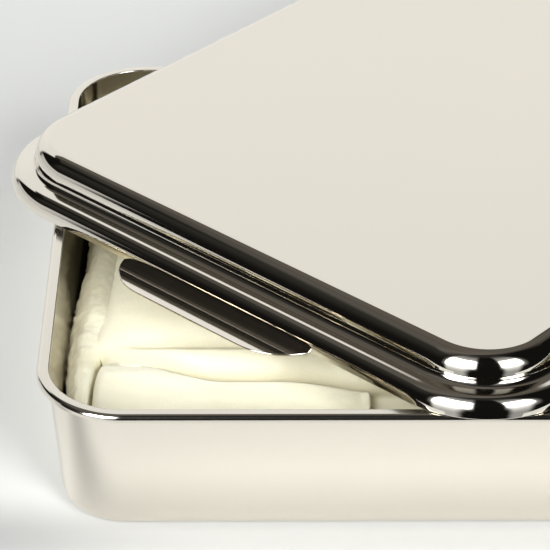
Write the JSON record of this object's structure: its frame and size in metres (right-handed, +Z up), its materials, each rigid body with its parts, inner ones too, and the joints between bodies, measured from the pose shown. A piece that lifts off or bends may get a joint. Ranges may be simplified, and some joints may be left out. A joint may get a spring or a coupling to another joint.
{
  "type": "instrument tray",
  "caption": "Shallow rectangular steel pan with rounded corners and a rolled rim, a stepped lid with lifting tabs lying askew on it, and a cotton pad inside for instruments.",
  "frame": {"origin": "centre of the pan's flat bottom, on the surface that it stands on", "axes": "+Z up; X along the pan's long side, Y along its short side, with the lid's exposed pan corner towards -X and -Y"},
  "size_m": [0.3329, 0.3386, 0.0564],
  "materials": {
    "pan_steel": "polished stainless steel",
    "lid_steel": "mirror-polished stainless steel",
    "tab_steel": "mirror-polished stainless steel",
    "cotton": "soft cotton wool, cream"
  },
  "bodies": {
    "tray": {"tray_pan": "pan_steel"},
    "pad": {"cotton_bottom_layer": "cotton", "cotton_upper_layer": "cotton", "cotton_front_fold": "cotton", "cotton_left_roll": "cotton"},
    "lid": {"lid_shell": "lid_steel", "lifting_tab_near": "tab_steel", "lifting_tab_far": "tab_steel"}
  },
  "joints": [
    {"name": "pad_lift", "type": "slide", "parent": "tray", "child": "pad", "axis": [0, 0, 1], "range_m": [0, 0.06]},
    {"name": "lid_lift", "type": "slide", "parent": "pad", "child": "lid", "axis": [0, 0, 1], "range_m": [0, 0.12]}
  ]
}
